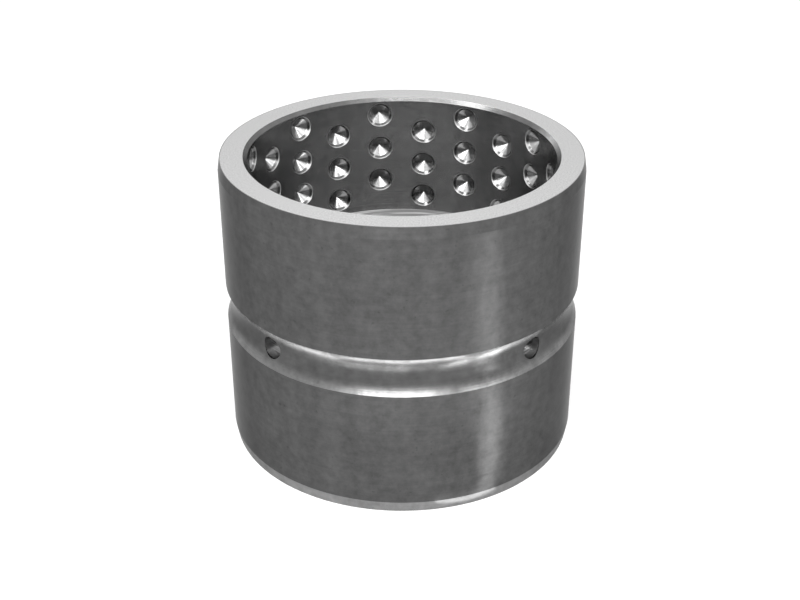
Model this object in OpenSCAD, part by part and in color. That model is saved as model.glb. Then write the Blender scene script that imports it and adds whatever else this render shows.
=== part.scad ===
// Steel sleeve bearing with a pocketed bore.
// One turned piece that stands on its end face, axis on +Z, centre of the lower end face at the origin.
// Grease enters through the oil holes from the outer groove and is held in the drilled pockets of the bore.

/* [Sleeve] */
// Diameter of the running bore
bore_d = 80; // [60:0.5:120]
// Thickness of the wall between the bore and the outer lands
wall = 7.5; // [6:0.25:12]
// Length between the two end faces
length = 80; // [50:1:140]

/* [End edges] */
// Length of the shallow lead-in on each outer edge
lead_length = 3; // [1:0.25:8]
// Depth of the lead-in, taken off the radius
lead_depth = 0.5; // [0.2:0.05:1.5]
// Leg of the 45 degree chamfer at each end of the bore
bore_chamfer = 1; // [0.3:0.1:1.4]

/* [Grease grooves] */
// Radius of the round-nosed arc that forms both grooves
groove_arc_r = 10; // [6:0.5:14]
// Depth of the groove around the outside
outer_groove_depth = 1.5; // [0.5:0.1:2]
// Depth of the groove around the bore
inner_groove_depth = 1.5; // [0.5:0.1:2]

/* [Oil holes] */
// Number of oil holes that join the two grooves
oil_hole_count = 4; // [2:1:8]
// Diameter of each oil hole
oil_hole_d = 6; // [2:0.5:8]

/* [Grease pockets] */
// Number of pocket columns around the bore, an even number so that the stagger closes
pocket_columns = 20; // [12:2:24]
// Height between one level of pockets and the next, staggered level
pocket_pitch = 5; // [4:0.25:10]
// Diameter of a pocket where its bevel meets the bore
pocket_rim_d = 7; // [4:0.1:7.5]
// Width of the 45 degree bevel inside the rim of a pocket
pocket_bevel = 0.7; // [0.2:0.05:1.2]
// Full angle of the pointed bottom of a pocket
pocket_point_angle = 110; // [90:1:140]
// Radius of the small flat that the chisel edge of the drill leaves at the point
pocket_tip_r = 0.1; // [0.05:0.05:0.5]
// Land between the chamfer of the bore and the rims of the first level
pocket_end_land = 0.5; // [0.25:0.25:6]
// Least land between the rims of the last level and the groove around the bore
pocket_groove_land = 1; // [0.5:0.25:4]

/* [Hidden] */
$fn = 120;
pocket_fn = 36;
overcut = 0.5;

bore_r = bore_d / 2;
outer_r = bore_r + wall;
mid_height = length / 2;

// Half the width of the inner groove where its arc meets the bore, by the chord of a circle
inner_groove_half = sqrt(inner_groove_depth * (2 * groove_arc_r - inner_groove_depth));

// Height of the first pocket level, and the levels that fit from there to the groove
pocket_rim_r = pocket_rim_d / 2;
first_level_h = bore_chamfer + pocket_end_land + pocket_rim_r;
last_level_h = mid_height - inner_groove_half - pocket_groove_land - pocket_rim_r;
pocket_levels = floor((last_level_h - first_level_h) / pocket_pitch) + 1;

// Half-section of the pocket, from its rim to the drill point
pocket_drill_r = pocket_rim_r - pocket_bevel;
pocket_depth = pocket_bevel + (pocket_drill_r - pocket_tip_r) / tan(pocket_point_angle / 2);

// Both patterns start half a step from +X, so the front of the sleeve lies between two holes
column_step = 360 / pocket_columns;
first_column = column_step / 2;
hole_step = 360 / oil_hole_count;
first_hole = hole_step / 2;
drill_start_r = bore_r / 2;

// Half-section of the plain bush, turned about Z
module turned_blank() {
    rotate_extrude()
        polygon([
            [bore_r + bore_chamfer, 0],
            [outer_r - lead_depth, 0],
            [outer_r, lead_length],
            [outer_r, length - lead_length],
            [outer_r - lead_depth, length],
            [bore_r + bore_chamfer, length],
            [bore_r, length - bore_chamfer],
            [bore_r, bore_chamfer]
        ]);
}

// Ring of round section at mid-height, used to cut a groove
module groove_ring(centre_r) {
    translate([0, 0, mid_height])
        rotate_extrude()
            translate([centre_r, 0])
                circle(r = groove_arc_r);
}

// The bush with a groove around the outside and one around the bore
module grooved_bush() {
    difference() {
        turned_blank();
        groove_ring(outer_r - outer_groove_depth + groove_arc_r);
        groove_ring(bore_r + inner_groove_depth - groove_arc_r);
    }
}

// Drills that run from inside the bore to outside the lands at mid-height
module oil_holes() {
    for (i = [0 : oil_hole_count - 1])
        rotate([0, 90, first_hole + hole_step * i])
            translate([-mid_height, 0, drill_start_r])
                cylinder(h = outer_r, d = oil_hole_d);
}

// One pocket, entering along +Z with its rim at the origin
module pocket() {
    rotate_extrude($fn = pocket_fn)
        polygon([
            [0, -overcut],
            [pocket_rim_r + overcut, -overcut],
            [pocket_drill_r, pocket_bevel],
            [pocket_tip_r, pocket_depth],
            [0, pocket_depth]
        ]);
}

// Pockets of one column on every other level, measured from both ends
module pocket_column(first_level) {
    for (level = [first_level : 2 : pocket_levels - 1], from_top = [false, true]) {
        rise = first_level_h + level * pocket_pitch;
        height = from_top ? length - rise : rise;
        translate([bore_r, 0, height])
            rotate([0, 90, 0])
                pocket();
    }
}

// All columns of pockets around the bore, staggered in turn
module pocket_field() {
    for (i = [0 : pocket_columns - 1])
        rotate([0, 0, first_column + column_step * i])
            pocket_column((i + 1) % 2);
}

// The bearing: the grooved bush, drilled with oil holes and pockets
module sleeve() {
    color("dimgray")
        difference() {
            grooved_bush();
            oil_holes();
            pocket_field();
        }
}

sleeve();
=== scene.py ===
import math

import bmesh
import bpy
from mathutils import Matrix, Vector

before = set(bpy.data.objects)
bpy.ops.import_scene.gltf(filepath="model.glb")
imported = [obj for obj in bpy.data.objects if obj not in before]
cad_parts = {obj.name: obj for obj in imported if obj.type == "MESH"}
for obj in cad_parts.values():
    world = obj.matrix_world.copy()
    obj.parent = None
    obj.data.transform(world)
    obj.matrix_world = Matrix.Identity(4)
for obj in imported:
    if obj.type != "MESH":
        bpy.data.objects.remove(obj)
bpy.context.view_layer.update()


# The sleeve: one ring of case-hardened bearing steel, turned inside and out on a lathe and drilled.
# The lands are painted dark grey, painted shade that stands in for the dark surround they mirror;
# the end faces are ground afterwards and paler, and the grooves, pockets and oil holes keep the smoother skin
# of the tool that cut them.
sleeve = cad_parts["sleeve"]
mm = 0.001
bore_r = 40.0 * mm
outer_r = 47.5 * mm
wall_middle_r = 44.0 * mm
mid_height = 40.0 * mm
groove_half = 5.27 * mm
groove_depth = 1.5 * mm
# Where the groove edges, and above them the upper edge, are painted lighter as painted reflection
groove_polish_and_sheen_start, groove_polish_and_sheen_full = 2.2 * mm, 5.0 * mm
upper_sheen_start, upper_sheen_full = 3.6 * mm, 4.9 * mm
oil_hole_r = 3.0 * mm
chamfer = 1.0 * mm
lead_length = 3.0 * mm
lead_depth = 0.5 * mm
broken_edge = 0.2 * mm
pocket_burr = 0.22 * mm
pocket_bevel = 0.7 * mm
skin = 0.04 * mm


def linear(hex_colour):
    channels = [int(hex_colour[i:i + 2], 16) / 255 for i in (1, 3, 5)]
    return [c / 12.92 if c <= 0.04045 else ((c + 0.055) / 1.055) ** 2.4 for c in channels] + [1.0]


def add_node(tree, kind, inputs=None, **settings):
    made = tree.nodes.new(kind)
    for name, value in settings.items():
        setattr(made, name, value)
    for name, value in (inputs or {}).items():
        if isinstance(value, bpy.types.NodeSocket):
            tree.links.new(value, made.inputs[name])
        else:
            made.inputs[name].default_value = value
    return made


# Hardened and turned steel: a grey metal, painted dark on the lands as painted shade for the dark surround they
# mirror, with a soft, cloudy skin, streaked upright by lamps because its fine turning marks run round it. The
# ground end faces are paler and finely speckled.
steel = bpy.data.materials.new("turned_and_ground_bearing_steel")
steel.use_nodes = True
tree = steel.node_tree
surface = tree.nodes["Principled BSDF"]

place = add_node(tree, "ShaderNodeTexCoord").outputs["Object"]
axes = add_node(tree, "ShaderNodeSeparateXYZ", {"Vector": place})
height = axes.outputs["Z"]
flat = add_node(tree, "ShaderNodeVectorMath", {0: place, 1: (1.0, 1.0, 0.0)}, operation="MULTIPLY").outputs[0]
radius = add_node(tree, "ShaderNodeVectorMath", {0: flat}, operation="LENGTH").outputs["Value"]
above_mid = add_node(tree, "ShaderNodeMath", {0: height, 1: mid_height}, operation="SUBTRACT").outputs[0]
from_mid = add_node(tree, "ShaderNodeMath", {0: above_mid}, operation="ABSOLUTE").outputs[0]

# Where each cut of the lathe and the drill starts to show and where it shows in full,
# read from the distance to the axis, to mid-height or to the foot
zone_edges = {
    "inside": (radius, wall_middle_r, wall_middle_r - 2.5 * skin),
    "cut_into_bore": (radius, bore_r + 0.5 * skin, bore_r + 1.5 * skin),
    "past_pocket_rim": (radius, bore_r + pocket_burr - skin, bore_r + pocket_burr + skin),
    "past_pocket_bevel": (radius, bore_r + pocket_bevel - skin, bore_r + pocket_bevel + skin),
    "in_groove": (from_mid, groove_half + skin, groove_half - skin),
    "to_groove_edge": (from_mid, groove_polish_and_sheen_start, groove_polish_and_sheen_full),
    "above_groove": (above_mid, upper_sheen_start, upper_sheen_full),
    "in_hole": (from_mid, oil_hole_r + 5 * skin, oil_hole_r + 2.5 * skin),
    "past_inner_groove": (radius, bore_r + groove_depth + skin, bore_r + groove_depth + 2.5 * skin),
    "short_of_outer_groove": (radius, outer_r - groove_depth - skin, outer_r - groove_depth - 2.5 * skin),
    "at_end": (from_mid, mid_height - 0.5 * skin, mid_height - 0.25 * skin),
    "at_outer_edge": (radius, outer_r - lead_depth - broken_edge - 1.25 * skin,
                      outer_r - lead_depth - broken_edge + 1.25 * skin),
    "at_chamfer": (from_mid, mid_height - chamfer - skin, mid_height - chamfer),
    "at_lead_in": (from_mid, mid_height - lead_length - skin, mid_height - lead_length),
    "at_foot": (height, lead_length, lead_length - skin),
}
zone = {}
for name, (measure, start, full) in zone_edges.items():
    zone[name] = add_node(tree, "ShaderNodeMapRange", {
        "Value": measure, "From Min": start, "From Max": full},
        interpolation_type="SMOOTHSTEP").outputs["Result"]
zone["outside"] = add_node(tree, "ShaderNodeMath", {0: 1.0, 1: zone["inside"]}, operation="SUBTRACT").outputs[0]

# Colour and roughness of each finish, laid over the lands in the order that the cuts are made.
# A finish covers the place where all of its zones meet.
# The land colour, also on the lead-in and the groove floor, is painted shade: a dark grey for the dark surround
# they mirror.
painted_dark_land_colour, land_roughness = "#535353", 0.3
finishes = (
    ("lead-in", ("at_lead_in", "outside"), "#545454", 0.3),
    # The foot's lead-in is painted lighter than the top one: painted reflection.
    ("lead-in at the foot, painted reflection", ("at_foot", "outside"), "#828282", 0.36),
    ("bore wall", ("inside",), "#989898", 0.25),
    ("pocket rim", ("inside", "cut_into_bore"), "#A0A0A0", 0.45),
    ("pocket bevel", ("inside", "past_pocket_rim"), "#747474", 0.15),
    ("pocket point", ("inside", "past_pocket_bevel"), "#A4A4A4", 0.2),
    ("bore chamfer", ("inside", "at_chamfer"), "#727272", 0.25),
    ("groove floor", ("in_groove",), "#545454", 0.26),
    # The groove edges are painted lighter, the upper edge lightest: painted reflection that draws bright lines
    # along the groove, on the smoother skin of the cutting tool.
    ("groove edge", ("in_groove", "to_groove_edge"), "#7E7E7E", 0.2),
    ("painted light upper groove edge", ("in_groove", "above_groove", "outside"), "#8E8E8E", 0.2),
    ("inner groove", ("in_groove", "inside"), "#D4D4D4", 0.1),
    ("oil hole", ("in_hole", "past_inner_groove", "short_of_outer_groove"), "#7C7C7C", 0.4),
    ("ground end face", ("at_end",), "#DDDDDD", 0.36),
    ("broken outer edge", ("at_end", "at_outer_edge"), "#8C8C8C", 0.36),
)
finish_mask = {}
colour, roughness = linear(painted_dark_land_colour), land_roughness
for name, zones, finish_colour, finish_roughness in finishes:
    mask = zone[zones[0]]
    for further in zones[1:]:
        mask = add_node(tree, "ShaderNodeMath", {0: mask, 1: zone[further]}, operation="MULTIPLY").outputs[0]
    finish_mask[name] = mask
    colour = add_node(tree, "ShaderNodeMix", {"Factor": mask, 6: colour, 7: linear(finish_colour)},
                      data_type="RGBA", label=name).outputs[2]
    roughness = add_node(tree, "ShaderNodeMix", {"Factor": mask, 2: roughness, 3: finish_roughness},
                         label=name).outputs[0]

# Cloudy skin from hardening: patches of 2.5 mm, over upright clouds 6 mm wide and 50 mm tall
patch_size = 2.5 * mm
cloud_width, cloud_height = 6.0 * mm, 50.0 * mm
patches = add_node(tree, "ShaderNodeTexNoise", {
    "Vector": place, "Scale": 1 / patch_size, "Detail": 4.0, "Roughness": 0.65}).outputs["Fac"]
upright = add_node(tree, "ShaderNodeVectorMath", {0: place, 1: (1.0, 1.0, cloud_width / cloud_height)},
                   operation="MULTIPLY").outputs[0]
clouds = add_node(tree, "ShaderNodeTexNoise", {
    "Vector": upright, "Scale": 1 / cloud_width, "Detail": 2.0}).outputs["Fac"]
both_clouds = add_node(tree, "ShaderNodeMix", {"Factor": 0.35, 2: patches, 3: clouds}).outputs[0]
mottle = add_node(tree, "ShaderNodeMapRange", {
    "Value": both_clouds, "From Min": 0.3, "From Max": 0.7, "To Min": 0.75, "To Max": 1.25}).outputs["Result"]

# Turning marks run round the axis on every face, so they follow the distance along the section.
# Real marks lie 0.15 mm apart; they are drawn at 0.6 mm so that they show.
mark_spacing, mark_length = 0.6 * mm, 24.0 * mm
along_section = add_node(tree, "ShaderNodeMath", {0: radius, 1: from_mid}, operation="ADD").outputs[0]
mark_place = add_node(tree, "ShaderNodeCombineXYZ", {
    "X": axes.outputs["X"], "Y": axes.outputs["Y"], "Z": along_section}).outputs[0]
mark_stretch = add_node(tree, "ShaderNodeVectorMath", {
    0: mark_place, 1: (mark_spacing / mark_length, mark_spacing / mark_length, 1.0)},
    operation="MULTIPLY").outputs[0]
marks = add_node(tree, "ShaderNodeTexNoise", {
    "Vector": mark_stretch, "Scale": 1 / mark_spacing, "Detail": 2.0}).outputs["Fac"]
mark_tone = add_node(tree, "ShaderNodeMapRange", {
    "Value": marks, "From Min": 0.3, "From Max": 0.7, "To Min": 0.96, "To Max": 1.04}).outputs["Result"]
tone = add_node(tree, "ShaderNodeMath", {0: mottle, 1: mark_tone}, operation="MULTIPLY").outputs[0]

# A few dark specks of scale, each under 1.3 mm across
speck_size = 1.3 * mm
specks = add_node(tree, "ShaderNodeTexNoise", {
    "Vector": place, "Scale": 1 / speck_size, "Detail": 1.0}).outputs["Fac"]
speck_tone = add_node(tree, "ShaderNodeMapRange", {
    "Value": specks, "From Min": 0.7, "From Max": 0.78, "To Min": 1.0, "To Max": 0.82}).outputs["Result"]
tone = add_node(tree, "ShaderNodeMath", {0: tone, 1: speck_tone}, operation="MULTIPLY").outputs[0]

# Speckle that the grit of the grinding wheel leaves on the end faces.
# Real grit is about 0.1 mm; it is drawn at 0.4 mm so that it shows.
speckle_size = 0.4 * mm
speckle = add_node(tree, "ShaderNodeTexNoise", {
    "Vector": place, "Scale": 1 / speckle_size, "Detail": 3.0, "Roughness": 0.7}).outputs["Fac"]
speckle_tone = add_node(tree, "ShaderNodeMapRange", {
    "Value": speckle, "From Min": 0.3, "From Max": 0.7, "To Min": 0.78, "To Max": 1.22}).outputs["Result"]
tone = add_node(tree, "ShaderNodeMix", {
    "Factor": finish_mask["ground end face"], 2: tone, 3: speckle_tone}).outputs[0]

# Light and dark lines laid along the boring tool's rings in the groove around the bore: painted reflection
painted_ring_reflection = add_node(tree, "ShaderNodeMapRange", {
    "Value": marks, "From Min": 0.4, "From Max": 0.6, "To Min": 0.5, "To Max": 1.45}).outputs["Result"]
tone = add_node(tree, "ShaderNodeMix", {
    "Factor": finish_mask["inner groove"], 2: tone, 3: painted_ring_reflection}).outputs[0]
toned = add_node(tree, "ShaderNodeVectorMath", {0: colour, "Scale": tone}, operation="SCALE").outputs[0]

# Fine grain of the skin, about 0.3 mm, that breaks up the edges of reflections
grain_size = 0.3 * mm
relief_depth = 0.024 * mm
grain = add_node(tree, "ShaderNodeTexNoise", {
    "Vector": place, "Scale": 1 / grain_size, "Detail": 2.0}).outputs["Fac"]
relief = add_node(tree, "ShaderNodeMix", {"Factor": 0.5, 2: marks, 3: grain}).outputs[0]
bump = add_node(tree, "ShaderNodeBump", {"Height": relief, "Strength": 0.9, "Distance": relief_depth})
round_axis = add_node(tree, "ShaderNodeTangent", direction_type="RADIAL", axis="Z")

tree.links.new(toned, surface.inputs["Base Color"])
tree.links.new(roughness, surface.inputs["Roughness"])
tree.links.new(bump.outputs["Normal"], surface.inputs["Normal"])
tree.links.new(round_axis.outputs["Tangent"], surface.inputs["Tangent"])
surface.inputs["Metallic"].default_value = 1.0
surface.inputs["Specular Tint"].default_value = linear("#BEBEBE")
surface.inputs["Anisotropic"].default_value = 0.35
surface.inputs["Anisotropic Rotation"].default_value = 0.25
sleeve.material_slots[0].material = steel


# The stage: a plain white floor that runs out to a white surround, as in a cut-out product picture.
# The floor is a disc of paper, laid flat under the sleeve.
# Floor and surround are white to the camera and in the steel, and give the sleeve only a plain fill light.
paper_radius = 1.0
paper_glow = 0.6
fill_light = 0.45
floor = bpy.data.objects.new("floor", bpy.data.meshes.new("floor"))
bpy.context.scene.collection.objects.link(floor)
paper_disc = bmesh.new()
bmesh.ops.create_circle(paper_disc, cap_ends=True, radius=paper_radius, segments=96)
paper_disc.to_mesh(floor.data)
paper_disc.free()

# Matt white paper: it has no gloss, so it shows only the sleeve's soft shadow
paper = bpy.data.materials.new("matt_white_paper")
paper.use_nodes = True
tree = paper.node_tree
surface = tree.nodes["Principled BSDF"]
surface.inputs["Base Color"].default_value = linear("#C4C4C4")
surface.inputs["Roughness"].default_value = 1.0
surface.inputs["Specular IOR Level"].default_value = 0.0
surface.inputs["Emission Color"].default_value = linear("#FFFFFF")


def seen_directly(tree):
    path = add_node(tree, "ShaderNodeLightPath").outputs
    seen = add_node(tree, "ShaderNodeMath", {0: path["Is Camera Ray"], 1: path["Is Glossy Ray"]},
                    operation="MAXIMUM").outputs[0]
    return add_node(tree, "ShaderNodeMath", {0: seen, 1: path["Is Transmission Ray"]},
                    operation="MAXIMUM").outputs[0]


glow = add_node(tree, "ShaderNodeMath", {0: seen_directly(tree), 1: paper_glow}, operation="MULTIPLY")
tree.links.new(glow.outputs[0], surface.inputs["Emission Strength"])
floor.data.materials.append(paper)

surround = bpy.data.worlds.new("white_surround")
surround.use_nodes = True
bpy.context.scene.world = surround
tree = surround.node_tree
surface = tree.nodes["Background"]
surface.inputs["Color"].default_value = linear("#FFFFFF")
white_level = add_node(tree, "ShaderNodeMapRange", {
    "Value": seen_directly(tree), "To Min": fill_light, "To Max": 1.0})
tree.links.new(white_level.outputs["Result"], surface.inputs["Strength"])


# The lamps: soft boxes of white cloth around the front, strips that lie beside the foot, and small lamps
# with narrow beams at the bore. The bright lines and streaks of the steel are their mirror images, helped at
# the groove edges and the foot by painted reflection, and the camera sees none of the lamps. Brightness is
# given against the white of the surround.
sleeve_middle = Vector((0.0, 0.0, mid_height))
soft_box_distance = 1.0
strip_height = 0.5


def soft_box(name, place, turn, width, height, brightness, spread=180.0):
    lamp = bpy.data.lights.new(name, "AREA")
    lamp.shape = "RECTANGLE"
    lamp.size, lamp.size_y = width, height
    lamp.energy = brightness * math.pi * width * height
    lamp.spread = math.radians(spread)
    box = bpy.data.objects.new(name, lamp)
    bpy.context.scene.collection.objects.link(box)
    box.location = place
    box.rotation_euler = turn
    box.visible_camera = False


# Soft boxes and wings, in degrees round the sleeve and above the floor, with width and height in metres.
# They make the white line low in the groove and the bright facets of the pockets.
for name, azimuth, elevation, width, height, brightness in (
        ("front_soft_box", -2.5, 33.0, 0.74, 0.73, 4.2),
        ("wide_soft_box", -4.0, 29.5, 1.35, 0.6, 1.3),
        ("right_low_wing", 53.0, 20.0, 0.56, 0.2, 2.3),
        ("right_wing", 53.0, 33.0, 0.74, 0.4, 0.7),
        ("left_wing", -60.0, 33.0, 0.64, 0.44, 0.6),
        ("left_soft_box", -77.0, 56.0, 0.36, 0.36, 7.0),
        ("right_soft_box", 84.0, 35.0, 0.35, 0.25, 4.0)):
    swing, rise = math.radians(azimuth), math.radians(elevation)
    away = Vector((math.sin(swing) * math.cos(rise), -math.cos(swing) * math.cos(rise), math.sin(rise)))
    soft_box(name, sleeve_middle + away * soft_box_distance, away.to_track_quat("Z", "Y").to_euler(),
             width, height, brightness)

# Strips that lie beside the foot and shine upwards, placed by degrees round the sleeve and mm from its axis.
# They make the upright streak on the lands, the light foot and the light upper edge of the groove, the last two
# together with painted reflection.
for name, azimuth, from_axis, turn, length, width, brightness, spread in (
        ("near_strip", 42.8, 84.0, -28.2, 31, 14, 2.9, 180.0),
        ("near_strip_middle", 36.9, 64.1, -28.2, 12, 9, 2.8, 180.0),
        ("near_strip_end", 31.6, 54.2, -28.2, 10, 5, 1.8, 180.0),
        ("far_strip", 47.8, 163.0, -32.7, 96, 28, 2.3, 180.0),
        ("foot_glint", 21.5, 49.3, 21.5, 18, 3, 2.7, 180.0),
        ("foot_left", -55.0, 58.0, -55.0, 44, 7, 2.5, 80.0),
        ("foot_front_left", -17.0, 52.2, -17.0, 33, 4.5, 1.15, 80.0),
        ("foot_front_right", 17.0, 52.2, 17.0, 33, 4.5, 1.1, 80.0),
        ("band_left", -43.0, 74.0, -43.0, 26, 16, 1.1, 98.0),
        ("band_front_left", -22.0, 75.0, -22.0, 26, 15, 3.1, 98.0),
        ("band_front", -4.0, 76.0, -4.0, 23, 15, 3.4, 98.0),
        ("band_front_right", 13.0, 75.0, 13.0, 20, 15, 1.3, 98.0),
        ("foot_right", 35.5, 68.4, 54.6, 45, 9, 8.0, 94.0),
        ("foot_right_end", 56.3, 61.3, 73.0, 21, 8, 3.6, 80.0),
        ("band_far_left", -89.0, 60.5, -80.0, 70, 9, 1.7, 112.0),
        ("band_far_right", 78.0, 58.5, 74.0, 26, 9, 1.7, 112.0)):
    swing = math.radians(azimuth)
    stand = Vector((math.sin(swing) * from_axis, -math.cos(swing) * from_axis, strip_height)) * mm
    soft_box(name, stand, (math.pi, 0.0, math.radians(turn)), length * mm, width * mm, brightness, spread)

# Small lamps with narrow beams: two over the rim that show in the chamfer of the bore, and three that shine
# into the bore, where only the pockets show them. Each stands at one place in mm and is turned to another.
for name, stand, towards, width, height, brightness, spread in (
        ("rim_lamp", (-2.2, 27.5, 120.0), (-2.2, 42.0, 80.0), 8, 5, 1.05, 60.0),
        ("right_rim_lamp", (-15.0, 89.0, 112.0), (39.0, 12.0, 78.0), 40, 28, 0.1, 36.0),
        ("bore_lamp_to_left", (20.6, -46.0, 131.0), (-31.0, 25.0, 70.0), 40, 44, 0.1, 30.0),
        ("bore_lamp_to_right", (-36.7, -48.8, 114.5), (35.0, 20.5, 68.0), 50, 44, 0.1, 30.0),
        ("bore_lamp_from_below", (-4.5, 18.4, 4.0), (-28.0, 30.0, 67.0), 17, 12, 0.12, 36.0)):
    away = Vector(stand) - Vector(towards)
    soft_box(name, Vector(stand) * mm, away.to_track_quat("Z", "Y").to_euler(),
             width * mm, height * mm, brightness, spread)


# The camera: a plain lens at the photograph's viewpoint, in front of the sleeve and looking down on it.
# Its place, tilt and focal length come from fitting the sleeve's edges to the picture of 800 by 600.
camera_place = Vector((-0.5176, -307.02, 202.11)) * mm
camera_tilt = math.radians(61.571)
lens = bpy.data.cameras.new("camera")
lens.sensor_width = 36.0
lens.lens = 57.16
camera = bpy.data.objects.new("camera", lens)
bpy.context.scene.collection.objects.link(camera)
camera.location = camera_place
camera.rotation_euler = (camera_tilt, 0.0, 0.0)
bpy.context.scene.camera = camera
bpy.context.scene.view_settings.view_transform = "Standard"
